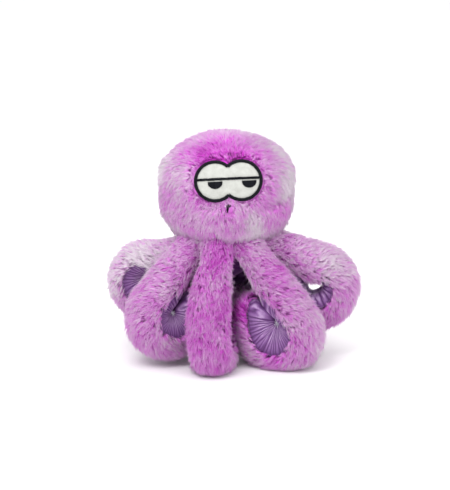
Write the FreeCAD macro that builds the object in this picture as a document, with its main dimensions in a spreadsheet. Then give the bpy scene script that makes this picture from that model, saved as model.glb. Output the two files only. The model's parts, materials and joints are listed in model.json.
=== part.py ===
"""Plush octopus with a stuffed dome head and eight curled arms.

Frame: millimetres, +Z up, the face looks along -Y, the floor is z = 0 and the origin is the
centre of the whole toy's footprint.  Each arm lies in an upright plane of its own.  It leaves
a ball-shaped root under the head, runs straight down along a tangent and then bends round
in one arc, with the long-pile fur outside the curl and the gathered lining inside it.
"""
import FreeCAD, Part
import math
import os

import Sketcher
from FreeCAD import Matrix, Placement, Rotation, Vector

SHEET = "sizes"

# Driving dimensions, in millimetres and degrees.
SIZES = {
    # the whole toy moved so that the origin is the centre of its footprint
    "shift_across": -7.15,
    "shift_along": -4.7,
    # the block of floor that flattens the tips that stand on it
    "floor_width": 400.0,
    "floor_depth": 20.0,
    # head: crown arc, shoulder arc, upright side, lower arc, flat underside
    "head_top": 223.0,
    "head_bottom": 130.0,
    "head_half_width": 63.5,
    "crown_radius": 95.0,
    "shoulder_radius": 36.0,
    "lower_radius": 30.0,
    "fur_thickness": 5.0,
    "stuffing_gap": 0.1,
    # base panel: a cone and a round bowl that hang between the arm roots
    "bowl_radius": 28.0,
    "bowl_height": 108.0,
    "panel_thickness": 1.5,
    # arms
    "root_circle": 47.0,
    "root_height": 110.0,
    "arm_radius": 16.5,
    "tip_radius": 13.5,
    "arm_fur": 3.0,
    "arm_lining": 1.5,
    "joint_heading": -100.0,
    "joint_gap_angle": 0.6,
    # face: two overlapping round eyes, seen square on from a little above the level
    "face_tilt": 15.0,
    "face_roll": 2.6,
    "face_inside": 60.0,
    "face_depth": 80.0,
    "face_across": 1.75,
    "face_up": 170.4,
    "eye_spacing": 25.9,
    "eye_radius": 20.7,
    "border_width": 3.3,
    "lid_height": 1.9,
    "lid_width": 1.7,
    "pupil_radius": 7.2,
    "pupil_spacing": 33.2,
    "pupil_offset": 3.7,
    "pupil_height": -0.5,
    "felt_clearance": 0.05,
    "felt_thickness": 1.5,
    "stitch_height": 2.2,
    "mouth_across": -2.3,
    "mouth_top": -22.8,
    "mouth_length": 6.6,
    "mouth_radius": 2.4,
    "mouth_width": 1.9,
    "mouth_end_angle": 30.0,
}

# Each arm: where its root sits round the head, which way its plane faces, how far out and
# how high the centre of its curl is, the curl's radius, the heading at which the curl ends
# and the straight run that is left after it.
ARM_COLUMNS = ("azimuth", "yaw", "reach", "height", "curl", "end_heading", "end_run")
ARMS = {
    "left": (171.0, 174.0, 30.0, 72.0, 21.0, -250.0, 6.0),
    "front_left": (-147.0, -160.0, 19.0, 50.0, 24.0, -262.0, 10.0),
    "front": (-102.0, -90.0, 12.0, 31.3, 19.0, -262.0, 10.0),
    "front_right": (-54.0, -20.0, 26.0, 36.3, 24.0, -266.0, 13.0),
    "right": (-8.0, -4.0, 42.0, 72.0, 23.0, -250.0, 6.0),
    "back_right": (36.0, 58.0, 16.0, 34.3, 22.0, -262.0, 10.0),
    "back": (81.0, 88.0, 18.0, 34.3, 22.0, -262.0, 10.0),
    "back_left": (126.0, 122.0, 20.0, 35.3, 23.0, -262.0, 10.0),
}

doc = FreeCAD.newDocument("plush_octopus")
sheet = doc.addObject("Spreadsheet::Sheet", SHEET)
parts = []


def fill_sheet():
    """Writes every driving dimension to the sheet, one row each."""
    rows = dict(SIZES)
    for arm, values in ARMS.items():
        for column, value in zip(ARM_COLUMNS, values):
            rows[f"{arm}_{column}"] = value
    for row, (alias, value) in enumerate(rows.items(), start=1):
        sheet.set(f"A{row}", alias)
        sheet.set(f"B{row}", str(value))
        sheet.setAlias(f"B{row}", alias)
    doc.recompute()


def size(alias):
    """The number in the sheet's cell of that name."""
    return float(getattr(sheet, alias))


def cell(alias):
    """How an expression names that cell."""
    return f"{SHEET}.{alias}"


def value_of(expression):
    """The number that an expression of sheet cells gives."""
    return float(sheet.evalExpression(expression.replace(f"{SHEET}.", "")))


# ---------------------------------------------------------------- sketches and features

def new_body(name):
    body = doc.addObject("PartDesign::Body", name)
    body.Label = name
    return body


def new_sketch(body, name, plane):
    """A sketch on one of the body's own origin planes."""
    sketch = body.newObject("Sketcher::SketchObject", f"{body.Name}_{name}")
    support = next(f for f in body.Origin.OriginFeatures if f.Role == plane)
    sketch.AttachmentSupport = [(support, "")]
    sketch.MapMode = "FlatFace"
    return sketch


def constrain(sketch, kind, *where, expression=None, value=None):
    """Adds one constraint, driven by an expression when there is one."""
    if expression is None:
        sketch.addConstraint(Sketcher.Constraint(kind, *where))
        return
    index = sketch.addConstraint(Sketcher.Constraint(kind, *where, value))
    sketch.setExpression(f"Constraints[{index}]", expression)


def add_line(sketch, start, end):
    return sketch.addGeometry(Part.LineSegment(Vector(*start, 0), Vector(*end, 0)), False)


def add_arc(sketch, centre, radius, start_deg, end_deg):
    """An arc, anticlockwise from start_deg to end_deg."""
    circle = Part.Circle(Vector(*centre, 0), Vector(0, 0, 1), radius)
    arc = Part.ArcOfCircle(circle, math.radians(start_deg), math.radians(end_deg))
    return sketch.addGeometry(arc, False)


def pad(body, sketch, length):
    feature = body.newObject("PartDesign::Pad", f"{sketch.Name}_pad")
    feature.Profile = sketch
    feature.setExpression("Length", length)
    return feature


def revolve(body, sketch, axis, angle, reverse=False):
    """A revolution whose angle is an expression."""
    feature = body.newObject("PartDesign::Revolution", f"{sketch.Name}_revolution")
    feature.Profile = sketch
    feature.ReferenceAxis = (sketch, [axis])
    feature.Reversed = reverse
    feature.setExpression("Angle", angle)
    return feature


# ---------------------------------------------------------------- head

def head_outline(sketch, offset):
    """Crown arc, shoulder arc, side and lower arc, moved outwards by an expression.

    Gives the first point, on the axis, and the last one, at the edge of the flat underside.
    """
    moved = value_of(offset)
    crown_centre = size("head_top") - size("crown_radius")
    shoulder_x = size("head_half_width") - size("shoulder_radius")
    centres = size("crown_radius") - size("shoulder_radius")
    shoulder_z = crown_centre + math.sqrt(centres ** 2 - shoulder_x ** 2)
    meet = math.degrees(math.atan2(shoulder_z - crown_centre, shoulder_x))
    lower_x = size("head_half_width") - size("lower_radius")
    lower_z = size("head_bottom") + size("lower_radius")
    side_x = size("head_half_width") + moved
    crown = add_arc(sketch, (0, crown_centre), size("crown_radius") + moved, meet, 90)
    shoulder = add_arc(
        sketch, (shoulder_x, shoulder_z), size("shoulder_radius") + moved, 0, meet
    )
    side = add_line(sketch, (side_x, shoulder_z), (side_x, lower_z))
    lower = add_arc(sketch, (lower_x, lower_z), size("lower_radius") + moved, 270, 360)
    constrain(sketch, "PointOnObject", crown, 3, -2)
    constrain(sketch, "PointOnObject", crown, 2, -2)
    constrain(sketch, "Tangent", crown, 1, shoulder, 2)
    constrain(sketch, "Tangent", shoulder, 1, side, 1)
    constrain(sketch, "Vertical", side)
    constrain(sketch, "Tangent", side, 2, lower, 2)
    constrain(sketch, "Vertical", lower, 3, lower, 1)
    for arc, alias in ((crown, "crown_radius"), (shoulder, "shoulder_radius"),
                       (lower, "lower_radius")):
        constrain(sketch, "Radius", arc, expression=f"{cell(alias)} + {offset}",
                  value=size(alias) + moved)
    constrain(sketch, "DistanceY", -1, 1, crown, 2, value=size("head_top") + moved,
              expression=f"{cell('head_top')} + {offset}")
    constrain(sketch, "DistanceX", -1, 1, side, 1, value=side_x,
              expression=f"{cell('head_half_width')} + {offset}")
    constrain(sketch, "DistanceY", -1, 1, lower, 1, value=size("head_bottom") - moved,
              expression=f"{cell('head_bottom')} - ({offset})")
    top = (0, size("head_top") + moved)
    bottom = (lower_x, size("head_bottom") - moved)
    return (crown, 2, top), (lower, 1, bottom)


def join(sketch, first, second):
    """A straight line between two ends, each given as (geometry, point, place)."""
    line = add_line(sketch, first[2], second[2])
    constrain(sketch, "Coincident", first[0], first[1], line, 1)
    constrain(sketch, "Coincident", line, 2, second[0], second[1])
    return line


def head_shell(name, outer, inner, back=False):
    """Half of the dome's skin, between two offsets of the head's outline."""
    body = new_body(name)
    sketch = new_sketch(body, "profile", "XZ_Plane")
    outer_top, outer_bottom = head_outline(sketch, outer)
    inner_top, inner_bottom = head_outline(sketch, inner)
    join(sketch, inner_top, outer_top)
    join(sketch, outer_bottom, inner_bottom)
    revolve(body, sketch, "V_Axis", "180", reverse=not back)
    return body


def bowl_outline(sketch, inset):
    """The base panel's cone and bowl, from the axis at the bottom up to the head's rim."""
    bowl = size("bowl_radius") - inset[0]
    rim_x = size("head_half_width") - size("lower_radius") - inset[0]
    low = size("bowl_height")
    arc = add_arc(sketch, (0, low), bowl, 270, 360)
    cone = add_line(sketch, (bowl, low), (rim_x, size("head_bottom")))
    constrain(sketch, "PointOnObject", arc, 3, -2)
    constrain(sketch, "PointOnObject", arc, 1, -2)
    constrain(sketch, "Coincident", arc, 2, cone, 1)
    constrain(sketch, "Horizontal", arc, 3, arc, 2)
    constrain(sketch, "Radius", arc, value=bowl,
              expression=f"{cell('bowl_radius')} - ({inset[1]})")
    constrain(sketch, "DistanceY", -1, 1, arc, 3, value=low, expression=cell("bowl_height"))
    constrain(sketch, "DistanceX", -1, 1, cone, 2, value=rim_x,
              expression=f"{cell('head_half_width')} - {cell('lower_radius')} - ({inset[1]})")
    constrain(sketch, "DistanceY", -1, 1, cone, 2, value=size("head_bottom"),
              expression=cell("head_bottom"))
    return (arc, 1, (0, low - bowl)), (cone, 2, (rim_x, size("head_bottom")))


def base_panel():
    """The dark fabric bowl that closes the head from below."""
    body = new_body("base_panel")
    sketch = new_sketch(body, "profile", "XZ_Plane")
    thickness = size("panel_thickness")
    outer_low, outer_rim = bowl_outline(sketch, (0.0, "0"))
    inner_low, inner_rim = bowl_outline(sketch, (thickness, cell("panel_thickness")))
    join(sketch, outer_low, inner_low)
    join(sketch, outer_rim, inner_rim)
    revolve(body, sketch, "V_Axis", "360")
    return body


def head_stuffing():
    """The fibre filling of the dome and of the bowl under it, as one plug."""
    body = new_body("head_stuffing")
    sketch = new_sketch(body, "profile", "XZ_Plane")
    inside = f"-({cell('fur_thickness')} + {cell('stuffing_gap')})"
    top, bottom = head_outline(sketch, inside)
    inset = size("panel_thickness") + size("stuffing_gap")
    inset_expression = f"{cell('panel_thickness')} + {cell('stuffing_gap')}"
    low, rim = bowl_outline(sketch, (inset, inset_expression))
    join(sketch, bottom, rim)
    join(sketch, low, top)
    revolve(body, sketch, "V_Axis", "360")
    return body


# ---------------------------------------------------------------- face

def face_placement():
    """Square to the face, on a plane inside the head, with the sketch's y up the face."""
    tilt = math.radians(size("face_tilt"))
    inside = size("face_inside")
    up = size("face_up")
    place = Vector(
        size("face_across"),
        up * math.sin(tilt) - inside * math.cos(tilt),
        up * math.cos(tilt) + inside * math.sin(tilt),
    )
    turned = Rotation(Vector(1, 0, 0), 90 - size("face_tilt"))
    return Placement(place, turned.multiply(Rotation(Vector(0, 0, 1), size("face_roll"))))


def eye_outline(sketch, radius, expression):
    """Two overlapping circles as one closed outline of two arcs."""
    half = size("eye_spacing") / 2
    notch = math.degrees(math.acos(half / radius))
    left = add_arc(sketch, (-half, 0), radius, notch, 360 - notch)
    right = add_arc(sketch, (half, 0), radius, 180 + notch, 540 - notch)
    constrain(sketch, "Coincident", left, 1, right, 2)
    constrain(sketch, "Coincident", left, 2, right, 1)
    constrain(sketch, "PointOnObject", left, 3, -1)
    constrain(sketch, "PointOnObject", right, 3, -1)
    constrain(sketch, "Radius", left, value=radius, expression=expression)
    constrain(sketch, "Radius", right, value=radius, expression=expression)
    constrain(sketch, "DistanceX", left, 3, -1, 1, value=half,
              expression=f"{cell('eye_spacing')} / 2")
    constrain(sketch, "DistanceX", -1, 1, right, 3, value=half,
              expression=f"{cell('eye_spacing')} / 2")


def draw_patch(sketch):
    eye_outline(sketch, size("eye_radius") - size("border_width"),
                f"{cell('eye_radius')} - {cell('border_width')}")


def draw_border(sketch):
    eye_outline(sketch, size("eye_radius"), cell("eye_radius"))
    draw_patch(sketch)


def draw_lid(sketch):
    """A bar across both eyes that stops at the border."""
    inner = size("eye_radius") - size("border_width")
    top = size("lid_height") + size("lid_width") / 2
    half = size("eye_spacing") / 2 + math.sqrt(inner ** 2 - top ** 2)
    low = top - size("lid_width")
    corners = ((-half, low), (half, low), (half, top), (-half, top))
    lines = [add_line(sketch, corners[i], corners[(i + 1) % 4]) for i in range(4)]
    for i in range(4):
        constrain(sketch, "Coincident", lines[i], 2, lines[(i + 1) % 4], 1)
    constrain(sketch, "Horizontal", lines[0])
    constrain(sketch, "Vertical", lines[1])
    constrain(sketch, "Vertical", lines[3])
    constrain(sketch, "Symmetric", lines[2], 1, lines[2], 2, -2)
    reach = (f"{cell('eye_spacing')} / 2 + sqrt(({cell('eye_radius')} - "
             f"{cell('border_width')})^2 - ({cell('lid_height')} + {cell('lid_width')} / 2)^2)")
    constrain(sketch, "DistanceX", -1, 1, lines[2], 1, value=half, expression=reach)
    constrain(sketch, "DistanceY", -1, 1, lines[2], 1, value=top,
              expression=f"{cell('lid_height')} + {cell('lid_width')} / 2")
    constrain(sketch, "DistanceY", lines[1], 1, lines[1], 2, value=size("lid_width"),
              expression=cell("lid_width"))


def pupil_drawing(side):
    """Draws one half-disc with its flat side up; side is -1 on the left and 1 on the right."""
    def draw(sketch):
        across = size("pupil_offset") + side * size("pupil_spacing") / 2
        level = size("pupil_height")
        radius = size("pupil_radius")
        arc = add_arc(sketch, (across, level), radius, 180, 360)
        flat = add_line(sketch, (across - radius, level), (across + radius, level))
        constrain(sketch, "Coincident", arc, 1, flat, 1)
        constrain(sketch, "Coincident", arc, 2, flat, 2)
        constrain(sketch, "PointOnObject", arc, 3, flat)
        constrain(sketch, "Horizontal", flat)
        constrain(sketch, "Radius", arc, value=radius, expression=cell("pupil_radius"))
        constrain(sketch, "DistanceX", -1, 1, arc, 3, value=across,
                  expression=f"{cell('pupil_offset')} + {side} * {cell('pupil_spacing')} / 2")
        constrain(sketch, "DistanceY", -1, 1, arc, 3, value=level,
                  expression=cell("pupil_height"))
    return draw


def draw_mouth(sketch):
    """A hook: a short upright stroke whose top turns over to the right."""
    inner = size("mouth_radius") - size("mouth_width") / 2
    outer = inner + size("mouth_width")
    left = size("mouth_across")
    centre = (left + outer, size("mouth_top") - outer)
    foot = size("mouth_top") - size("mouth_length")
    over = size("mouth_end_angle")
    outside = add_arc(sketch, centre, outer, over, 180)
    inside = add_arc(sketch, centre, inner, over, 180)
    down = add_line(sketch, (left, centre[1]), (left, foot))
    bottom = add_line(sketch, (left, foot), (left + size("mouth_width"), foot))
    back_up = add_line(sketch, (left + size("mouth_width"), foot),
                       (left + size("mouth_width"), centre[1]))
    angle = math.radians(over)
    end_out = (centre[0] + outer * math.cos(angle), centre[1] + outer * math.sin(angle))
    end_in = (centre[0] + inner * math.cos(angle), centre[1] + inner * math.sin(angle))
    end = add_line(sketch, end_in, end_out)
    constrain(sketch, "Tangent", outside, 2, down, 1)
    constrain(sketch, "Coincident", down, 2, bottom, 1)
    constrain(sketch, "Coincident", bottom, 2, back_up, 1)
    constrain(sketch, "Tangent", back_up, 2, inside, 2)
    constrain(sketch, "Coincident", inside, 1, end, 1)
    constrain(sketch, "Coincident", end, 2, outside, 1)
    constrain(sketch, "Coincident", inside, 3, outside, 3)
    constrain(sketch, "PointOnObject", outside, 3, end)
    constrain(sketch, "Vertical", down)
    constrain(sketch, "Horizontal", bottom)
    constrain(sketch, "DistanceX", bottom, 1, bottom, 2, value=size("mouth_width"),
              expression=cell("mouth_width"))
    constrain(sketch, "Radius", outside, value=outer,
              expression=f"{cell('mouth_radius')} + {cell('mouth_width')} / 2")
    constrain(sketch, "DistanceX", down, 1, -1, 1, value=-left,
              expression=f"-({cell('mouth_across')})")
    constrain(sketch, "DistanceY", bottom, 1, -1, 1, value=-foot,
              expression=f"{cell('mouth_length')} - {cell('mouth_top')}")


def face_piece(name, draw, shell):
    """The part of a thin shell over the head that lies inside a drawn outline."""
    prism = new_body(f"{name}_outline")
    sketch = new_sketch(prism, "outline", "XY_Plane")
    draw(sketch)
    pad(prism, sketch, cell("face_depth"))
    prism.Placement = face_placement()
    piece = doc.addObject("Part::Common", name)
    piece.Label = name
    piece.Base = shell
    piece.Tool = prism
    return piece


# ---------------------------------------------------------------- arms

def half_ring(sketch, side, outer, inner):
    """Half of a tube's section; side is 1 for the outside of the curl and -1 for the inside."""
    first, last = (0, 180) if side > 0 else (180, 360)
    rings = []
    for radius, expression in (outer, inner):
        arc = add_arc(sketch, (0, 0), radius, first, last)
        constrain(sketch, "Coincident", arc, 3, -1, 1)
        constrain(sketch, "PointOnObject", arc, 1, -1)
        constrain(sketch, "PointOnObject", arc, 2, -1)
        constrain(sketch, "Radius", arc, value=radius, expression=expression)
        rings.append(arc)
    for point, sign in ((1, side), (2, -side)):
        line = add_line(sketch, (sign * outer[0], 0), (sign * inner[0], 0))
        constrain(sketch, "Coincident", rings[0], point, line, 1)
        constrain(sketch, "Coincident", line, 2, rings[1], point)


def half_disc(sketch, radius):
    """The fur side's half of a round section, closed along the middle."""
    arc = add_arc(sketch, (0, 0), radius[0], 0, 180)
    line = add_line(sketch, (-radius[0], 0), (radius[0], 0))
    constrain(sketch, "Coincident", arc, 3, -1, 1)
    constrain(sketch, "PointOnObject", arc, 1, -1)
    constrain(sketch, "Coincident", arc, 2, line, 1)
    constrain(sketch, "Coincident", arc, 1, line, 2)
    constrain(sketch, "Horizontal", line)
    constrain(sketch, "Radius", arc, value=radius[0], expression=radius[1])


def full_disc(sketch, radius):
    circle = sketch.addGeometry(Part.Circle(Vector(0, 0, 0), Vector(0, 0, 1), radius[0]), False)
    constrain(sketch, "Coincident", circle, 3, -1, 1)
    constrain(sketch, "Radius", circle, value=radius[0], expression=radius[1])


def curl_axis(sketch, curl):
    """The line that the section turns about, on the inner side of the curl."""
    length = 10.0
    axis = sketch.addGeometry(
        Part.LineSegment(Vector(-length, -curl[0], 0), Vector(length, -curl[0], 0)), True
    )
    constrain(sketch, "Symmetric", axis, 1, axis, 2, -2)
    constrain(sketch, "DistanceX", axis, 1, axis, 2, value=2 * length, expression="20")
    constrain(sketch, "DistanceY", axis, 1, -1, 1, value=curl[0], expression=curl[1])


def limb(name, draw_section, draw_cap, cap_angle, run, curl, turn, cap_from=1):
    """A capped straight run along +X that goes on round an arc towards -Z.

    cap_from is 1 when the cap's sketch is on the outside of the curl and -1 on the inside.
    """
    body = new_body(name)
    cap = new_sketch(body, "cap", "YZ_Plane")
    draw_cap(cap)
    revolve(body, cap, "H_Axis", cap_angle, reverse=cap_from > 0)
    start = new_sketch(body, "start", "YZ_Plane")
    draw_section(start)
    pad(body, start, run[1])
    bend = new_sketch(body, "bend", "YZ_Plane")
    bend.AttachmentOffset = Placement(Vector(0, 0, run[0]), Rotation())
    bend.setExpression("AttachmentOffset.Base.z", run[1])
    draw_section(bend)
    curl_axis(bend, curl)
    revolve(body, bend, "Axis0", turn)
    return body


class Arm:
    """The path of one arm in its own upright plane, and its three materials."""

    def __init__(self, name):
        self.name = name
        self.values = {column: size(f"{name}_{column}") for column in ARM_COLUMNS}
        value = self.values
        fall = value["height"] - size("root_height")
        self.start_heading = math.degrees(
            math.atan2(fall, value["reach"])
            + math.asin(value["curl"] / math.hypot(fall, value["reach"]))
        )
        self.run = math.sqrt(fall ** 2 + value["reach"] ** 2 - value["curl"] ** 2)
        yaw = math.radians(value["yaw"])
        self.outwards = Vector(math.cos(yaw), math.sin(yaw), 0)
        azimuth = math.radians(value["azimuth"])
        self.root = Vector(
            size("root_circle") * math.cos(azimuth),
            size("root_circle") * math.sin(azimuth),
            size("root_height"),
        )

    def alias(self, column):
        return cell(f"{self.name}_{column}")

    def run_expression(self):
        fall = f"({self.alias('height')} - {cell('root_height')})"
        return f"sqrt({fall}^2 + {self.alias('reach')}^2 - {self.alias('curl')}^2)"

    def heading_expression(self):
        """The upper run's heading, in degrees, as an expression."""
        fall = f"({self.alias('height')} - {cell('root_height')})"
        distance = f"sqrt({fall}^2 + {self.alias('reach')}^2)"
        return (f"(atan2({fall}; {self.alias('reach')}) + "
                f"asin({self.alias('curl')} / {distance})) / 1 deg")

    def along(self, heading):
        """The direction with that heading in the arm's plane."""
        angle = math.radians(heading)
        return self.outwards * math.cos(angle) + Vector(0, 0, math.sin(angle))

    def curl_point(self, heading):
        """Where the arc has that heading."""
        value = self.values
        centre = self.root + self.outwards * value["reach"]
        centre.z = value["height"]
        return centre + self.along(heading + 90) * value["curl"]

    def placement(self, place, forwards, outer):
        """Local +X along forwards and local +Z to the outer side of the curl."""
        across = outer.cross(forwards)
        matrix = Matrix(
            forwards.x, across.x, outer.x, place.x,
            forwards.y, across.y, outer.y, place.y,
            forwards.z, across.z, outer.z, place.z,
            0, 0, 0, 1,
        )
        return Placement(matrix)

    def upper_placement(self):
        heading = self.start_heading
        return self.placement(self.root, self.along(heading), self.along(heading + 90))

    def tip_placement(self):
        """The tip's own frame starts at its rounded end and runs back to the joint."""
        heading = self.values["end_heading"]
        forwards = self.along(heading)
        end = self.curl_point(heading) + forwards * self.values["end_run"]
        return self.placement(end, forwards * -1, self.along(heading + 90))

    def pieces(self):
        """Fur, lining and stuffing of the upper length and then of the tip."""
        upper_turn = f"({self.heading_expression()}) - ({cell('joint_heading')})"
        tip_turn = (f"{cell('joint_heading')} - {cell('joint_gap_angle')} - "
                    f"({self.alias('end_heading')})")
        curl = (self.values["curl"], self.alias("curl"))
        lengths = (
            ("arm", "arm_radius", (self.run, self.run_expression()), upper_turn,
             self.upper_placement()),
            ("tip", "tip_radius", (self.values["end_run"], self.alias("end_run")), tip_turn,
             self.tip_placement()),
        )
        made = []
        for prefix, radius, run, turn, placement in lengths:
            label = f"{prefix}_{self.name}"
            for piece, side, wall in (("fur", 1, "arm_fur"), ("lining", -1, "arm_lining")):
                outer = (size(radius), cell(radius))
                inner = (size(radius) - size(wall), f"{cell(radius)} - {cell(wall)}")

                def section(sketch, side=side, outer=outer, inner=inner):
                    half_ring(sketch, side, outer, inner)

                body = limb(f"{label}_{piece}", section, section, "90", run, curl, turn, side)
                body.Placement = placement
                made.append(body)
            fill = (size(radius) - size("arm_fur") - size("stuffing_gap"),
                    f"{cell(radius)} - {cell('arm_fur')} - {cell('stuffing_gap')}")

            def disc(sketch, fill=fill):
                full_disc(sketch, fill)

            def cap(sketch, fill=fill):
                half_disc(sketch, fill)

            body = limb(f"{label}_stuffing", disc, cap, "180", run, curl, turn)
            body.Placement = placement
            made.append(body)
        return made


# ---------------------------------------------------------------- assembly

def cut_flat(body):
    """A tip that reaches the floor, with the patch that it rests on cut flat."""
    label = body.Label
    body.Label = f"{label}_round"
    floor = doc.addObject("Part::Box", f"{label}_floor")
    floor.setExpression("Length", cell("floor_width"))
    floor.setExpression("Width", cell("floor_width"))
    floor.setExpression("Height", cell("floor_depth"))
    corner = -size("floor_width") / 2
    floor.Placement.Base = Vector(corner, corner, -size("floor_depth"))
    piece = doc.addObject("Part::Cut", label)
    piece.Label = label
    piece.Base = body
    piece.Tool = floor
    return piece


def build():
    """Makes every sub-part round the head's own axis."""
    fill_sheet()
    thickness = cell("fur_thickness")
    felt = (cell("felt_thickness"), cell("felt_clearance"))
    parts.append(head_shell("head_front_fur", "0", f"-{thickness}"))
    parts.append(head_shell("head_back_fur", "0", f"-{thickness}", back=True))
    parts.append(base_panel())
    parts.append(head_stuffing())
    felt_shell = head_shell("felt_shell", *felt)
    border_shell = head_shell("border_shell", cell("stitch_height"), felt[1])
    lid_shell = head_shell("lid_shell", cell("stitch_height"),
                           f"{felt[0]} + {cell('felt_clearance')}")
    mouth_shell = head_shell("mouth_shell", felt[0], felt[1])
    parts.append(face_piece("eye_patch", draw_patch, felt_shell))
    parts.append(face_piece("eye_border", draw_border, border_shell))
    parts.append(face_piece("eyelid_line", draw_lid, lid_shell))
    parts.append(face_piece("pupil_left", pupil_drawing(-1), lid_shell))
    parts.append(face_piece("pupil_right", pupil_drawing(1), lid_shell))
    parts.append(face_piece("mouth_stitches", draw_mouth, mouth_shell))
    for name in ARMS:
        parts.extend(Arm(name).pieces())


def move_to_origin():
    """Moves every body so that the origin is the centre of the toy's footprint."""
    shift = Vector(size("shift_across"), size("shift_along"), 0)
    for body in doc.findObjects("PartDesign::Body"):
        body.Placement.Base = body.Placement.Base + shift
    doc.recompute()


def rest_on_floor():
    """Every sub-part, with those that reach below the floor cut flat."""
    finished = [cut_flat(piece) if piece.Shape.BoundBox.ZMin < 0 else piece for piece in parts]
    doc.recompute()
    return finished


def export(pieces):
    """Tests every object and writes each sub-part to a file of its own."""
    for obj in doc.Objects:
        if "Invalid" in obj.State or "Error" in obj.State:
            raise RuntimeError(f"{obj.Label} failed: {obj.State}")
    os.makedirs("parts", exist_ok=True)
    for piece in pieces:
        shape = piece.Shape
        if shape.isNull() or not shape.isValid() or not shape.Solids:
            raise RuntimeError(f"{piece.Label} has no valid solid")
        shape.exportStep(f"parts/{piece.Label}.step")
        box = shape.optimalBoundingBox(False)
        print(f"{piece.Label:28s} {shape.Volume / 1000:8.2f} cm3  "
              f"x {box.XMin:7.1f} {box.XMax:7.1f}  y {box.YMin:7.1f} {box.YMax:7.1f}  "
              f"z {box.ZMin:6.1f} {box.ZMax:6.1f}")


build()
move_to_origin()
export(rest_on_floor())
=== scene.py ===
import json
import math

import bpy
import numpy as np
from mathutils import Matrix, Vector


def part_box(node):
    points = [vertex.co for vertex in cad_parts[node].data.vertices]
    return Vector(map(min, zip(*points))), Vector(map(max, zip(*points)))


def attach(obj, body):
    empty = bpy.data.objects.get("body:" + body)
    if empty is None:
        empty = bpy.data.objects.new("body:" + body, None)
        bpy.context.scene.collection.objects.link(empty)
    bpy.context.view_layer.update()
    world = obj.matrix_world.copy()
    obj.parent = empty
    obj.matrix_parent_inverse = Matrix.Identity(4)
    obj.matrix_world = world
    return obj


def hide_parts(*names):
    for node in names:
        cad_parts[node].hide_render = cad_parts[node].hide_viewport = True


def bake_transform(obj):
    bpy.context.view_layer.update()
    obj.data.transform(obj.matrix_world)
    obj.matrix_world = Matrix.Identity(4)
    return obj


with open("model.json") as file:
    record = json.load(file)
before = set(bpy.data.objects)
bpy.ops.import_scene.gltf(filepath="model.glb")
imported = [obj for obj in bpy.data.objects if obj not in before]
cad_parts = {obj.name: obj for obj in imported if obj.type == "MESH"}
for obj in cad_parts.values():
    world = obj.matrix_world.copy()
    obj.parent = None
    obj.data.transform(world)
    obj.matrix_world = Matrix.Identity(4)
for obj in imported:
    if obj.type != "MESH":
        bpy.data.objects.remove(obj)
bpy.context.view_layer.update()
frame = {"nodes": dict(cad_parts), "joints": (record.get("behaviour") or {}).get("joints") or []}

MM = 0.001
UP = np.array((0.0, 0.0, 1.0))
BAKE_UV = "OFBake"
JOINTS = {joint["name"]: joint for joint in frame["joints"]}

# ---- design values

# plush
PILE_LENGTH = 10.5
PILE_RISE = 0.62
PILE_LIE = 0.74
FIBRE_RADIUS = 0.28
STRANDS_IN_CLUMP = 5
CLUMP_SPREAD = 0.94
CLUMPING = 0.52
COMB_TURN = 0.40
STRAY_SHARE = 0.12
HEAD_CLUMPS = 19000
ARM_CLUMP_SPACING = 1.52
CLUMP_SIZES = (0.76, 1.24)
STRAND_SIZES = (0.85, 1.1)
CLUMP_LEANS = (0.6, 1.3)
CLUMP_TURN = 0.28
FOOT_DEPTH = 0.5
FLOOR_SOFTNESS = 4.0

# arms: the CAD tube's radius, the CAD centreline's heading in degrees at the uncurl joint, the
# radius of the skin under the fur, and how the tube is drawn, seamed and bent from there
ARM_RADIUS = 16.5
JOINT_HEADING = -100.0
SKIN_RADIUS = 15.6
ROOT_GIRTH = 0.80
SEAM_ANGLE = 110.0
RUN_SEAM_ANGLE = 150.0
ROOT_EXTENSION = 16.0
SPLIT_BEFORE_JOINT = 8.0
OPEN_HOLE = 3.0
BEND_LENGTH = 20.0
ROOT_BEND_START = -6.0
ROOT_BEND_LENGTH = 26.0

# head: its outline as in the CAD source, how far the skin lies from it, and the face's turn
CROWN_RADIUS = 95.0
SHOULDER_RADIUS = 36.0
LOWER_RADIUS = 30.0
HEAD_SKIN = -3.2
FACE_TILT = 15.0
FACE_ROLL = 2.6
HEAD_TONE = 0.56

# The nap on the head is combed away from the eyes, beside and above them, then back over the
# crown and down the sides: how hard, how far, and over which lengths it changes over.
SIDE_PULL, TOP_PULL = 2.2, 3.0
SIDE_REACH, TOP_REACH = 9.0, 35.0
ABOVE_EYES, ABOVE_LENGTH = 8.0, 22.0
CROWN_END, CROWN_LENGTH = 4.0, 24.0
FRINGE_START, FRINGE_LENGTH = 42.0, 30.0

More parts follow.
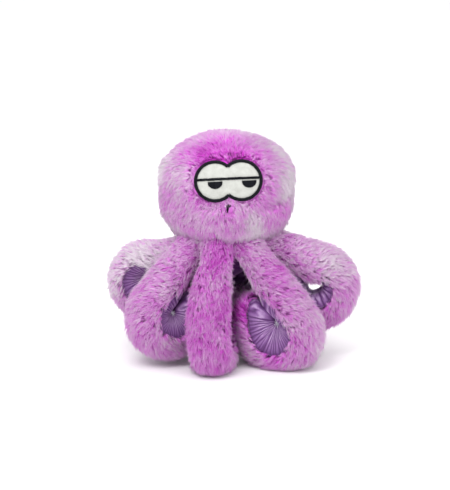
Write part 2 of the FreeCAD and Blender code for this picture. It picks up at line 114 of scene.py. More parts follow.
# One row for each arm.  curl, end and run are the CAD's curl radius, end heading and end run.
# tone is the dye's lightness, pleat is the spacing of the lining's pleats, gather is where they
# meet, from the curl's centre, hole is the open space there, and early is how far up the
# straight run the lining already reaches it.  twist turns the seams about the tube by so many
# degrees, from so far after the straight run and over such a length.  sway bends the arm to one
# side at its middle and at its tip, and lift raises its root.
ARM_COLUMNS = ("curl", "end", "run", "tone", "pleat", "gather", "hole", "early", "twist", "sway",
               "lift")
ARM_ROWS = {
    "left": (21, -250, 6, 0.70, 3.2, (0, 6), 2.0, 18, (-42, -45, 60), (0, 0), -7),
    "front_left": (24, -262, 10, 0.54, 3.6, (0, 4), 2.0, 30, (-12, 0, 90), (3, 5), 0),
    "front": (19, -262, 10, 0.45, 3.8, (0, 6), 2.0, 32, (0, 0, 90), (-8, 0), 0),
    "front_right": (24, -266, 18, 0.52, 4.6, (0, 10), 2.0, 46, (35, 0, 125), (0, 0), 0),
    "right": (23, -250, 6, 0.60, 8.5, (-4, 6), 13.5, 4, (10, 0, 60), (0, 0), 5),
    "back_right": (22, -262, 10, 0.58, 4.0, (0, 7), 2.0, 36, (8, 0, 90), (3, -2), 0),
    "back": (22, -262, 10, 0.62, 4.2, (0, 7), 2.0, 36, (-8, 0, 90), (-4, 3), 0),
    "back_left": (23, -262, 10, 0.56, 4.0, (0, 7), 2.0, 36, (6, 0, 90), (-2, 3), 0),
}

# Tie-dye patches: centre, size and how much lighter (+) or more magenta (-) the fur is there.
DYE_PATCHES = (
    ((-18, -35, 216), 20, -0.36), ((-28, -42, 209), 9, -0.16), ((-43, -25, 208), 13, -0.08),
    ((4, -48, 207), 10, -0.22), ((52, -26, 183), 19, 0.40), ((41, -15, 205), 14, 0.26),
    ((-62, -10, 195), 15, 0.30), ((-60, -15, 140), 20, 0.14), ((21, -55, 146), 18, 0.20),
    ((50, -28, 160), 12, -0.24), ((-50, -38, 172), 14, -0.02), ((-20, -60, 150), 14, 0.06),
    ((-18, -72, 118), 13, -0.34), ((-20, -100, 12), 20, -0.20), ((43, -60, 107), 11, -0.42),
    ((30, -68, 95), 8, -0.26), ((-88, -12, 95), 15, 0.32), ((-50, -15, 112), 10, 0.26),
    ((-50, -62, 88), 8, -0.26), ((-52, -45, 45), 13, -0.50), ((8, -45, 50), 17, -0.45),
    ((36, -52, 150), 9, -0.22), ((48, -42, 158), 8, -0.20), ((-16, -58, 192), 8, -0.18),
    ((8, -58, 193), 8, -0.18), ((-10, 50, 205), 22, -0.20), ((25, 55, 165), 20, 0.18),
    ((-40, 45, 150), 20, -0.16), ((20, -38, 214), 15, -0.16), ((74, -65, 50), 17, 0.30),
    ((86, -20, 105), 20, 0.18), ((110, -15, 62), 20, 0.24), ((82, -58, 24), 16, 0.16),
)

# Dents (-) and bulges (+) of the whole dome: centre, size and depth.
HEAD_DENTS = (
    ((-47, -2, 214), 17, -5.0), ((-62, -5, 198), 9, 1.6), ((45, -4, 211), 9, -3.0),
    ((54, -6, 201), 8, 1.8), ((-8, 0, 224), 30, 1.2), ((62, -10, 158), 12, -2.0),
    ((-62, -10, 146), 14, -1.6), ((10, 50, 200), 20, -2.0),
    ((-54, -8, 135), 13, 4.5), ((40, -12, 140), 14, 3.0), ((-55, -12, 126), 9, 3.0),
)

# Hollows (-) and swellings (+) of the head under the fur, on the face's own axes: across, up,
# how wide, how high, turn in degrees and depth.
HEAD_SHAPING = (
    (0, 29, 30, 4.5, 0, -3.4), (0, 37, 34, 7, 0, 1.4), (0, 0, 36, 22, 0, 0.6),
    (-8, -34, 22, 9, 0, 1.8), (44, -18, 22, 5, 30, -4.5), (50, -5, 14, 8, 20, 2.2),
    (44, -30, 16, 8, 20, 1.8), (-44, -10, 14, 20, 0, 1.0),
)


# ---- small maths

def unit(vectors):
    length = np.linalg.norm(vectors, axis=-1, keepdims=True)
    return vectors / np.maximum(length, 1e-9)


def smooth(value):
    """0 below 0, 1 above 1 and a smooth step between."""
    t = np.clip(value, 0.0, 1.0)
    return t * t * (3 - 2 * t)


def circle(angle):
    """Unit vectors in a plane at these angles."""
    return np.stack((np.cos(angle), np.sin(angle)), axis=-1)


def along_surface(vectors, normal):
    """Unit vectors without their part along the normal."""
    return unit(vectors - normal * np.sum(vectors * normal, axis=1)[:, None])


def lattice(cells, seed):
    """A repeatable number from 0 to 1 for each whole-numbered point."""
    x, y, z = (cells[..., i].astype(np.int64) for i in range(3))
    mixed = (x * 73856093) ^ (y * 19349663) ^ (z * 83492791) ^ (seed * 26544357)
    mixed = ((mixed ^ (mixed >> 13)) * 1274126177) & 0xFFFFFFFF
    return ((mixed ^ (mixed >> 15)) & 0xFFFF) / 65535.0


def noise(points, cell, seed):
    """Smooth noise from -1 to 1, with features of about `cell` millimetres."""
    scaled = np.asarray(points, float) / cell
    base = np.floor(scaled)
    part = smooth(scaled - base)
    total = np.zeros(scaled.shape[:-1])
    for corner in np.ndindex(2, 2, 2):
        weight = np.prod(np.where(corner, part, 1 - part), axis=-1)
        total += weight * lattice(base + corner, seed)
    return 2 * total - 1


def spots(points, table):
    """The sum of soft round spots, each with a centre, a size and a strength."""
    total = 0.0
    for centre, size, strength in table:
        away = np.sum((points - np.array(centre, float)) ** 2, axis=-1)
        total = total + strength * np.exp(-away / size ** 2)
    return total


def off_floor(points):
    """Squeezes what would lie in or just above the floor into a thin layer on it."""
    pressed = points.copy()
    low = points[:, 2] < FLOOR_SOFTNESS
    depth = (points[low, 2] - FLOOR_SOFTNESS) / FLOOR_SOFTNESS
    pressed[low, 2] = FLOOR_SOFTNESS * np.exp(depth)
    return pressed


# ---- meshes

POLE_UVS = (0.05, 0.95)
UV_MARGIN = 0.1
ACROSS_THREADS = np.array((0.36, 0.48, 0.80))
WHOLE = (0.0, 0.0, 1.0, 1.0)


def faces_of_rings(columns, heights):
    """Faces and UVs of a pole, rings of points and a pole; heights are the rings' v."""
    rows, column = len(heights), np.arange(columns)
    after = (column + 1) % columns
    last = 1 + rows * columns
    top = last - columns
    fans = np.concatenate((np.stack((0 * column, 1 + column, 1 + after), axis=1),
                           np.stack((0 * column + last, top + after, top + column), axis=1)))
    low_v, high_v = (np.broadcast_to(v, (columns, 3)) for v in (
        (0.0, heights[0], heights[0]), (1.0, heights[-1], heights[-1])))
    fan_u = np.concatenate((np.stack((column + 0.5, column, column + 1), axis=1),
                            np.stack((column + 0.5, column + 1, column), axis=1))) / columns
    parts = [(fans, np.stack((fan_u, np.concatenate((low_v, high_v))), axis=2))]
    if rows > 1:
        row, column = (x.ravel() for x in np.indices((rows - 1, columns)))
        after = (column + 1) % columns
        low, high = 1 + row * columns, 1 + (row + 1) * columns
        quads = np.stack((low + column, high + column, high + after, low + after), axis=1)
        u = np.stack((column, column, column + 1, column + 1), axis=1) / columns
        v = heights[np.stack((row, row + 1, row + 1, row), axis=1)]
        parts.append((quads, np.stack((u, v), axis=2)))
    return parts


def volume(points, faces):
    """Six times the signed volume inside closed faces."""
    total = 0.0
    for k in range(1, faces.shape[1] - 1):
        a, b, c = (points[faces[:, i]] for i in (0, k, k + 1))
        total += np.einsum("ij,ij->", a, np.cross(b, c))
    return total


class Shape:
    """The points, faces and per-point values of one piece, in millimetres."""

    def __init__(self):
        self.points, self.faces, self.uvs, self.values = [], [], [], {}
        self.count = 0

    def add(self, points, parts, **values):
        """Adds closed faces; parts is a list of (faces, uvs), turned to look outwards."""
        outwards = sum(volume(points, faces) for faces, _ in parts) > 0
        for faces, uvs in parts:
            turned = slice(None) if outwards else slice(None, None, -1)
            self.faces.append(faces[:, turned] + self.count)
            self.uvs.append(uvs[:, turned])
        for name, value in values.items():
            full = np.broadcast_to(np.asarray(value, float), len(points))
            self.values.setdefault(name, []).append(full)
        self.points.append(points)
        self.count += len(points)

    def to_object(self, name, material):
        mesh = bpy.data.meshes.new(name)
        points = off_floor(np.concatenate(self.points)) * MM
        corners = np.concatenate([f.ravel() for f in self.faces])
        sizes = np.concatenate([np.full(len(f), f.shape[1]) for f in self.faces])
        mesh.vertices.add(len(points))
        mesh.vertices.foreach_set("co", points.astype(np.float32).ravel())
        mesh.loops.add(len(corners))
        mesh.loops.foreach_set("vertex_index", corners.astype(np.int32))
        mesh.polygons.add(len(sizes))
        starts = np.concatenate(((0,), np.cumsum(sizes)[:-1]))
        mesh.polygons.foreach_set("loop_start", starts.astype(np.int32))
        mesh.update(calc_edges=True)
        mesh.shade_smooth()
        uv = np.concatenate([u.reshape(-1, 2) for u in self.uvs])
        layer = mesh.uv_layers.new(name=BAKE_UV)
        layer.data.foreach_set("uv", uv.astype(np.float32).ravel())
        for key, parts in self.values.items():
            attribute = mesh.attributes.new(key, "FLOAT", "POINT")
            attribute.data.foreach_set("value", np.concatenate(parts).astype(np.float32))
        piece = bpy.data.objects.new(name, mesh)
        bpy.context.scene.collection.objects.link(piece)
        mesh.materials.append(material)
        return piece


def closed_grid(shape, points, area, **values):
    """Adds a round grid (rows, columns, 3), closed by a point at each end."""
    rows, columns, _ = points.shape
    corner, size = np.array(area[:2]), np.subtract(area[2:], area[:2])

    def closed(grid):
        flat = grid.reshape(rows * columns, -1)
        return np.concatenate((flat[:columns].mean(axis=0)[None], flat,
                               flat[-columns:].mean(axis=0)[None]))

    parts = [(faces, corner + size * uvs)
             for faces, uvs in faces_of_rings(columns, np.linspace(*POLE_UVS, rows))]
    filled = {key: closed(np.broadcast_to(np.asarray(value, float), (rows, columns))).ravel()
              for key, value in values.items()}
    shape.add(closed(points), parts, **filled)


def tubes(shape, lines, radii, sides, area, **values):
    """Adds closed threads, pointed at both ends: lines is (threads, points, 3)."""
    count, length, _ = lines.shape
    inner = length - 2
    direction = unit(lines[:, 2:] - lines[:, :-2])
    first = unit(np.cross(direction, ACROSS_THREADS))
    second = np.cross(direction, first)
    turn = 2 * np.pi * np.arange(sides) / sides
    ring = (first[:, :, None] * np.cos(turn)[:, None]
            + second[:, :, None] * np.sin(turn)[:, None])
    ring = lines[:, 1:-1, None] + ring * np.broadcast_to(radii, (count, inner))[..., None, None]
    points = np.concatenate(
        (lines[:, :1], ring.reshape(count, inner * sides, 3), lines[:, -1:]), axis=1)
    x0, y0, x1, y1 = area
    columns = max(1, int(math.ceil(math.sqrt(count * 2 * (x1 - x0) / (y1 - y0)))))
    cell = np.array(((x1 - x0) / columns, (y1 - y0) / int(math.ceil(count / columns))))
    number = np.arange(count)
    corner = (x0, y0) + np.stack((number % columns, number // columns), axis=1) * cell
    parts = []
    for faces, uv in faces_of_rings(sides, np.arange(1, inner + 1) / (length - 1)):
        every = (faces[None] + number[:, None, None] * points.shape[1]).reshape(-1, faces.shape[1])
        placed = corner[:, None, None] + (UV_MARGIN + (1 - 2 * UV_MARGIN) * uv[None]) * cell
        parts.append((every, placed.reshape(-1, faces.shape[1], 2)))
    filled = {}
    for key, value in values.items():
        value = np.asarray(value, float)
        if value.ndim == 1 and len(value) == count:
            value = value[:, None]
        full = np.broadcast_to(value, (count, length))
        rings = np.repeat(full[:, 1:-1], sides, axis=1)
        filled[key] = np.concatenate((full[:, :1], rings, full[:, -1:]), axis=1).ravel()
    shape.add(points.reshape(-1, 3), parts, **filled)


# ---- dye and plush

def dye_at(points, tone):
    """How light the tie-dyed fur is at these points, from 0, magenta, to 1, near white."""
    value = tone + 0.15 * noise(points, 24, 11) + 0.11 * noise(points, 10, 12)
    value = value + 0.05 * noise(points, 4, 13) + spots(points, DYE_PATCHES)
    return np.clip(value, 0.0, 1.0)


def turned(comb, normal, angle):
    """Tangent vectors turned about their normals."""
    return comb * np.cos(angle)[:, None] + np.cross(normal, comb) * np.sin(angle)[:, None]


def per_strand(values):
    return np.repeat(values, STRANDS_IN_CLUMP)


def grow_fur(shape, rng, clumps, surface, area):
    """Adds bent, tapered strands in clumps.

    clumps is an array of places on the surface.  surface(places) gives for each a dict with
    its point, normal, comb, stretch (millimetres in one unit of each coordinate), pile
    (a share of the pile's length), lie (how flat it is combed), tone and bend.
    """
    lead = surface(clumps)
    repeat = per_strand(np.arange(len(clumps)))
    spread = rng.normal(0.0, CLUMP_SPREAD, (len(repeat), 2)) / lead["stretch"][repeat]
    own = surface(clumps[repeat] + spread)
    lead = {key: value[repeat] for key, value in lead.items()}
    clump_size = per_strand(rng.uniform(*CLUMP_SIZES, len(clumps)))
    length = PILE_LENGTH * clump_size * rng.uniform(*STRAND_SIZES, len(repeat)) * own["pile"]
    clump_turn = per_strand(rng.normal(0.0, CLUMP_TURN, len(clumps)))
    lean = per_strand(rng.uniform(*CLUMP_LEANS, len(clumps)))

    def shape_of(base):
        angle = COMB_TURN * noise(base["point"], 14, 31) + clump_turn
        comb = turned(base["comb"], base["normal"], angle)
        rise = base["normal"] * (PILE_RISE * length)[:, None]
        lie = comb * (PILE_LIE * lean * length * base["lie"])[:, None]
        middle = base["point"] + 0.60 * rise + 0.30 * lie
        return middle, base["point"] + rise + lie

    middle, tip = shape_of(own)
    lead_middle, lead_tip = shape_of(lead)
    offset = own["point"] - lead["point"]
    tip += (lead_tip + 0.28 * offset - tip) * CLUMPING
    middle += (lead_middle + 0.7 * offset - middle) * CLUMPING * 0.5
    stray = rng.random(len(tip)) < STRAY_SHARE
    tip[stray] += rng.normal(0.0, 1.1, (int(stray.sum()), 3)) + 1.2 * own["normal"][stray]
    foot = own["point"] - FOOT_DEPTH * own["normal"]
    radius = FIBRE_RADIUS * rng.uniform(0.75, 1.25, len(tip))[:, None]
    tone = per_strand(rng.normal(0.0, 1.0, len(clumps)))
    tone = tone + rng.normal(0.0, 0.5, len(tip))
    tubes(shape, np.stack((foot, middle, tip), axis=1), radius, 3, area,
          dye=dye_at(lead["point"], lead["tone"]), along=np.array((0.0, 0.45, 1.0)),
          tone=tone, bend=own["bend"])


# ---- materials

def colour(red, green, blue):
    """A screen colour from 0 to 255 as Blender's linear one."""
    def linear(level):
        level /= 255
        return level / 12.92 if level <= 0.04045 else ((level + 0.055) / 1.055) ** 2.4
    return (linear(red), linear(green), linear(blue), 1.0)


class Material:
    """A node material round one Principled shader."""

    def __init__(self, name, **sockets):
        self.material = bpy.data.materials.new(name)
        self.material.use_nodes = True
        self.nodes = self.material.node_tree.nodes
        self.links = self.material.node_tree.links
        self.nodes.clear()
        output = self.node("OutputMaterial")
        self.shader = self.node("BsdfPrincipled")
        self.links.new(self.shader.outputs[0], output.inputs["Surface"])
        for socket, value in sockets.items():
            self.shader.inputs[socket.replace("_", " ")].default_value = value

    def node(self, kind, **settings):
        made = self.nodes.new("ShaderNode" + kind)
        for key, value in settings.items():
            setattr(made, key, value)
        return made

    def value(self, name):
        """The output of a per-point value of the mesh."""
        return self.node("Attribute", attribute_name=name).outputs["Fac"]

    def feed(self, socket, value):
        """Sets a socket to a number or a colour, or links an output to it."""
        if isinstance(value, (int, float, tuple)):
            socket.default_value = value
        else:
            self.links.new(value, socket)

    def maths(self, operation, first, second):
        made = self.node("Math", operation=operation)
        self.feed(made.inputs[0], first)
        self.feed(made.inputs[1], second)
        return made.outputs[0]

    def blend(self, first, second, share):
        """Two values mixed, with this share of the second."""
        return self.maths("ADD", self.maths("MULTIPLY", first, 1 - share),
                          self.maths("MULTIPLY", second, share))

    def ramp(self, factor, stops):
        """A colour ramp; each stop is a place and a screen colour."""
        made = self.node("ValToRGB")
        elements = made.color_ramp.elements
        while len(elements) < len(stops):
            elements.new(0.5)
        for element, (place, tint) in zip(elements, stops):
            element.position = place
            element.color = colour(*tint)
        self.feed(made.inputs["Fac"], factor)
        return made.outputs["Color"]

    def noise(self, scale, where=None, **settings):
        made = self.node("TexNoise")
        for key, value in dict(settings, Scale=scale).items():
            self.feed(made.inputs[key], value)
        self.feed(made.inputs["Vector"], where or self.node("TexCoord").outputs["Object"])
        return made.outputs["Fac"]

    def multiply(self, first, second):
        made = self.node("Mix", data_type="RGBA", blend_type="MULTIPLY")
        for number, value in ((0, 1.0), (6, first), (7, second)):
            self.feed(made.inputs[number], value)
        return made.outputs[2]

    def bump(self, height, strength, distance):
        made = self.node("Bump")
        for key, value in (("Strength", strength), ("Distance", distance), ("Height", height)):
            self.feed(made.inputs[key], value)
        self.feed(self.shader.inputs["Normal"], made.outputs[0])

    def paint(self, tint):
        self.feed(self.shader.inputs["Base Color"], tint)


def fur_material():
    """Acrylic plush: tie-dyed, more magenta at the backing and with pale tips, and with painted
    shade darkening the roots.
    """
    m = Material("orchid_plush", Roughness=0.62, Sheen_Weight=0.30, Sheen_Roughness=0.45,
                 Sheen_Tint=(1.0, 0.86, 1.0, 1.0))
    m.shader.inputs["Specular IOR Level"].default_value = 0.25
    lighter = m.maths("MULTIPLY", m.maths("SUBTRACT", m.value("along"), 0.48), 0.56)
    shade = m.maths("ADD", m.value("dye"), lighter)
    shade = m.maths("ADD", shade, m.maths("MULTIPLY", m.value("tone"), 0.10))
    tint = m.ramp(shade, (
        (0.0, (146, 2, 138)), (0.16, (204, 30, 198)), (0.36, (232, 93, 229)),
        (0.56, (240, 148, 239)), (0.78, (246, 202, 245)), (1.0, (252, 242, 251))))
    # Painted shade: the roots are darkened as if shaded between the strands; the skin under the fur
    # gets part of it.
    root = m.ramp(m.value("along"), (
        (0.0, (226, 208, 226)), (0.45, (248, 244, 248)), (1.0, (255, 255, 255))))
    m.paint(m.multiply(tint, root))
    return m.material


def lining_material():
    """Gathered lavender satin, with painted shade in the folds and a painted highlight on the
    ridges.
    """
    m = Material("lavender_satin", Roughness=0.54, Sheen_Weight=0.15, Sheen_Roughness=0.35,
                 Sheen_Tint=(0.95, 0.82, 1.0, 1.0), Anisotropic=0.4)
    uv = m.node("UVMap", uv_map=BAKE_UV).outputs[0]
    crinkle = m.noise(90.0, uv, Detail=4.0)
    # fold is painted shade: darkest in the pleats' valleys and on the lining's underside, palest on
    # the ridges.
    shade = m.maths("ADD", m.value("fold"), m.maths("MULTIPLY", crinkle, 0.30))
    m.paint(m.ramp(shade, (
        (0.0, (42, 8, 52)), (0.30, (74, 30, 88)), (0.62, (112, 66, 130)),
        (0.90, (150, 108, 166)), (1.0, (184, 152, 196)))))
    m.bump(crinkle, 0.35, 0.0004)
    return m.material


def panel_material():
    """Smooth short-nap violet cloth."""
    m = Material("violet_nap", Roughness=0.8, Sheen_Weight=0.5, Sheen_Roughness=0.4,
                 Sheen_Tint=(0.8, 0.4, 0.9, 1.0))
    nap = m.noise(900.0, Detail=3.0)
    cloud = m.noise(40.0, Detail=2.0)
    m.paint(m.ramp(m.blend(nap, cloud, 0.6), ((0.3, (58, 6, 74)), (0.7, (92, 20, 108)))))
    m.bump(nap, 0.4, 0.0003)
    return m.material


def felt_material():
    """White needle felt with a fine mat of fibres."""
    m = Material("white_felt", Roughness=0.9, Sheen_Weight=0.25, Sheen_Roughness=0.5)
    mat = m.noise(1500.0, Detail=5.0, Roughness=0.7)
    cloud = m.noise(160.0, Detail=3.0)
    m.paint(m.ramp(m.blend(mat, cloud, 0.4), ((0.3, (168, 169, 163)), (0.7, (205, 206, 201)))))
    m.bump(mat, 0.6, 0.0004)
    return m.material


def thread_material(name, dark, light):
    """Rayon embroidery thread, each strand a little different."""
    m = Material(name, Roughness=0.6)
    m.shader.inputs["Specular IOR Level"].default_value = 0.15
    ply = m.noise(1200.0, Detail=2.0)
    m.paint(m.ramp(m.blend(ply, m.value("tone"), 0.5), ((0.2, dark), (0.8, light))))
    return m.material


FUR = fur_material()
LINING = lining_material()
PANEL = panel_material()
FELT = felt_material()
BLACK_THREAD = thread_material("black_thread", (2, 3, 8), (20, 21, 30))
WHITE_THREAD = thread_material("white_thread", (196, 192, 206), (240, 238, 246))


# ---- head

class Head:
    """The dome's outline of revolution, read from the CAD boxes, and the face's own axes."""

    def __init__(self):
        front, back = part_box("head_front_fur"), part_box("head_back_fur")
        self.top = front[1].z / MM
        self.bottom = front[0].z / MM
        self.half_width = (front[1].x - front[0].x) / 2 / MM
        self.axis = np.array(((front[0].x + front[1].x) / 2, back[0].y, 0.0)) / MM
        self.shoulder_x = self.half_width - SHOULDER_RADIUS
        self.crown_z = self.top - CROWN_RADIUS
        rise = math.sqrt((CROWN_RADIUS - SHOULDER_RADIUS) ** 2 - self.shoulder_x ** 2)
        self.shoulder_z = self.crown_z + rise
        self.meet = math.atan2(rise, self.shoulder_x)
        self.lower_x = self.half_width - LOWER_RADIUS
        self.lower_z = self.bottom + LOWER_RADIUS
        tilt, roll = math.radians(FACE_TILT), math.radians(FACE_ROLL)
        up = np.array((0.0, math.sin(tilt), math.cos(tilt)))
        right = np.array((1.0, 0.0, 0.0))
        self.forward = np.array((0.0, -math.cos(tilt), math.sin(tilt)))
        self.right = right * math.cos(roll) + up * math.sin(roll)
        self.face_up = up * math.cos(roll) - right * math.sin(roll)
        self.face_centre = np.zeros(2)
        low, high = self.drawn("eye_border")
        self.face_centre = (low + high) / 2
        self.eye_radius = (high[1] - low[1]) / 2
        self.eye_half_spacing = (high[0] - low[0]) / 2 - self.eye_radius
        low, high = self.drawn("mouth_stitches")
        self.mouth = (low + high) / 2
        self.mouth_reach = (high - low) / 2

    def drawn(self, node):
        """The lowest and highest corner of a face node on the face's axes."""
        flat = self.on_axes(np.array([v.co for v in frame["nodes"][node].data.vertices]) / MM)
        return flat.min(axis=0), flat.max(axis=0)

    def zones(self, offset):
        """How far from the crown its own curve ends, then the shoulder's and the side."""
        crown = (CROWN_RADIUS + offset) * (math.pi / 2 - self.meet)
        shoulder = crown + (SHOULDER_RADIUS + offset) * self.meet
        return crown, shoulder, shoulder + self.shoulder_z - self.lower_z

    def outline(self, distance, offset):
        """Radius, height and the normal's two parts, a distance down from the crown."""
        crown, shoulder, side = self.zones(offset)
        on_crown = math.pi / 2 - distance / (CROWN_RADIUS + offset)
        on_shoulder = self.meet - (distance - crown) / (SHOULDER_RADIUS + offset)
        on_lower = -(distance - side) / (LOWER_RADIUS + offset)
        zone = [distance < crown, distance < shoulder, distance < side]
        angle = np.select(zone, [on_crown, on_shoulder, 0.0 * distance], on_lower)
        centre_x = np.select(zone, [0.0, self.shoulder_x, self.shoulder_x], self.lower_x)
        down = self.shoulder_z - np.clip(distance - shoulder, 0, side - shoulder)
        centre_z = np.select(zone, [self.crown_z, self.shoulder_z, down], self.lower_z)
        size = np.select(zone, [CROWN_RADIUS, SHOULDER_RADIUS, SHOULDER_RADIUS], LOWER_RADIUS)
        radius = centre_x + (size + offset) * np.cos(angle)
        height = centre_z + (size + offset) * np.sin(angle)
        return radius, height, np.cos(angle), np.sin(angle)

    def outline_length(self, offset):
        return self.zones(offset)[2] + (LOWER_RADIUS + offset) * math.pi / 2

    def outside(self, points):
        """How far points are outside the CAD outline."""
        radius = np.hypot(points[:, 0] - self.axis[0], points[:, 1] - self.axis[1])
        height = points[:, 2]
        crown = np.hypot(radius, height - self.crown_z) - CROWN_RADIUS
        steep = np.arctan2(height - self.crown_z, radius) > self.meet
        shoulder = np.hypot(radius - self.shoulder_x, height - self.shoulder_z) - SHOULDER_RADIUS
        lower = np.hypot(radius - self.lower_x, height - self.lower_z) - LOWER_RADIUS
        return np.select([steep, height > self.shoulder_z, height > self.lower_z],
                         [crown, shoulder, radius - self.half_width], lower)

    def on_face(self, drawing, offset):
        """Points of a drawing (n, 2) on the face's axes, laid on the head at an offset."""
        flat = (drawing[:, :1] * self.right + drawing[:, 1:2] * self.face_up)
        low = (self.axis[1] - flat[:, 1]) / self.forward[1]
        high = low + CROWN_RADIUS
        for _ in range(40):
            middle = (low + high) / 2
            out = self.outside(flat + middle[:, None] * self.forward) > offset
            high = np.where(out, middle, high)
            low = np.where(out, low, middle)
        return flat + low[:, None] * self.forward

    def on_axes(self, points):
        """Where points lie on the face's axes, from the middle of the eyes."""
        flat = np.stack((points @ self.right, points @ self.face_up), axis=-1)
        return flat - self.face_centre

    def from_eyes(self, flat):
        """How far outside the eyes' outline a place on the face's axes is."""
        near = np.hypot(np.abs(flat[..., 0]) - self.eye_half_spacing, flat[..., 1])
        return near - self.eye_radius

    def swelling(self, points, facing):
        """How far the stuffed skin lies outside the outline."""
        flat = self.on_axes(points)
        total = 0.9 * noise(points, 22, 51) + spots(points, HEAD_DENTS)
        for across, high, wide, tall, turn, depth in HEAD_SHAPING:
            angle = math.radians(turn)
            x, y = flat[..., 0] - across, flat[..., 1] - high
            first = (x * math.cos(angle) + y * math.sin(angle)) / wide
            second = (y * math.cos(angle) - x * math.sin(angle)) / tall
            total = total + facing * depth * np.exp(-first ** 2 - second ** 2)
        return total

    def surface(self, places):
        """The skin at (azimuth in degrees from the front, distance from the crown)."""
        azimuth = np.radians(places[:, 0])
        limit = self.outline_length(HEAD_SKIN)
        distance = np.clip(places[:, 1], 0.3, limit)
        radius, height, level, rise = self.outline(distance, HEAD_SKIN)
        radial = np.stack((np.sin(azimuth), -np.cos(azimuth), 0 * azimuth), axis=1)
        normal = radial * level[:, None] + UP * rise[:, None]
        point = self.axis + radial * radius[:, None] + UP * height[:, None]
        facing = smooth(normal @ self.forward * 2)
        point = point + normal * self.swelling(point, facing)[:, None]
        down = radial * rise[:, None] - UP * level[:, None]
        flat = self.on_axes(point)
        away = along_surface(flat[:, :1] * self.right + flat[:, 1:2] * self.face_up, normal)
        above = smooth((flat[:, 1] - ABOVE_EYES) / ABOVE_LENGTH)
        reach = SIDE_REACH + (TOP_REACH - SIDE_REACH) * above
        outside_eyes = np.maximum(self.from_eyes(flat), 0)
        pull = SIDE_PULL + (TOP_PULL - SIDE_PULL) * above
        pull = pull * facing * np.exp(-(outside_eyes / reach) ** 2)
        at_crown = 1 - smooth((distance - CROWN_END) / CROWN_LENGTH)
        comb = down * (1 - at_crown)[:, None] - self.forward * at_crown[:, None]
        comb = along_surface(comb + pull[:, None] * away, normal)
        near_eyes = facing * np.exp(-(outside_eyes / 4.0) ** 2)
        over_mouth = (flat - self.mouth - (0.0, 3.0)) / (6.0, 9.0)
        near_mouth = facing * np.exp(-np.sum(over_mouth ** 2, axis=1))
        fringe = smooth((places[:, 1] - limit + FRINGE_START) / FRINGE_LENGTH)
        stretch = np.stack((np.maximum(radius, 2.0) * math.pi / 180, 1 + 0 * radius), axis=1)
        return dict(point=point, normal=normal, comb=comb, stretch=stretch,
                    pile=(1 - 0.42 * near_eyes + 0.30 * fringe) * (1 - 0.5 * near_mouth),
                    lie=(1 - 0.6 * near_eyes) * (1 - 0.1 * at_crown),
                    tone=np.full(len(point), HEAD_TONE), bend=np.zeros(len(point)))


HEAD = Head()
HEAD_SECTORS = {
    "head_front_left_plush": (-90.0, 0.0), "head_front_right_plush": (0.0, 90.0),
    "head_back_right_plush": (90.0, 180.0), "head_back_left_plush": (180.0, 270.0),
}


def head_piece(shape, name, material, node):
    """A piece that rides on the head and stands for one of the CAD's nodes."""
    piece = shape.to_object(name, material)
    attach(piece, "head")
    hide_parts(node)
    return piece


def head_skin(shape, first, last):
    """The backing cloth of one quarter of the dome, as a closed shell under the fur."""
    rows, columns, inner = 70, 34, 3.0
    limit = HEAD.outline_length(HEAD_SKIN)
    azimuth = np.concatenate(((first,), np.linspace(first + 0.3, last - 0.3, columns - 2), (last,)))
    distance = np.linspace(0.3, limit, rows)
    places = np.stack(np.meshgrid(azimuth, distance), axis=-1).reshape(-1, 2)
    found = HEAD.surface(places)
    outer = found["point"].reshape(rows, columns, 3)
    under = (found["point"] - inner * found["normal"]).reshape(rows, columns, 3)
    ring = np.concatenate((outer, under[:, ::-1]), axis=1)
    # along=0.35 gives the skin part of the fur's painted root shade.
    closed_grid(shape, ring, (0.0, 0.0, 1.0, 0.2), dye=dye_at(ring, 0.6), along=0.35,
                tone=0.0, bend=0.0)


def head_clumps(rng):
    """Clump places scattered on the whole dome, but none on the eyes or the mouth.

    The part of the fur that the mouth leaves bare lies a little to its left and below it.
    """
    limit = HEAD.outline_length(HEAD_SKIN)
    tries = HEAD_CLUMPS * 3
    azimuth = rng.uniform(-90.0, 270.0, tries)
    distance = rng.uniform(0.3, limit, tries)
    radius = HEAD.outline(distance, HEAD_SKIN)[0]
    denser = 1 + 0.8 * np.exp(-(distance / 22.0) ** 2)
    kept = rng.random(tries) < radius / (HEAD.half_width + HEAD_SKIN) * denser
    places = np.stack((azimuth, distance), axis=1)[kept]
    found = HEAD.surface(places)
    facing = found["normal"] @ HEAD.forward > 0.2
    flat = HEAD.on_axes(found["point"])
    mouth = np.all(np.abs(flat - HEAD.mouth + (1.4, 0.4)) < HEAD.mouth_reach + 0.5, axis=1)
    bare = facing & ((HEAD.from_eyes(flat) < 0.4) | mouth)
    return places[~bare][:HEAD_CLUMPS]


def make_head():
    rng = np.random.default_rng(7)
    clumps = head_clumps(rng)
    for name, (first, last) in HEAD_SECTORS.items():
        shape = Shape()
        head_skin(shape, first, last)
        mine = (clumps[:, 0] >= first) & (clumps[:, 0] < last)
        grow_fur(shape, rng, clumps[mine], HEAD.surface, (0.0, 0.22, 1.0, 1.0))
        side = "front" if "front" in name else "back"
        head_piece(shape, name, FUR, f"head_{side}_fur")
    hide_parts("head_stuffing")


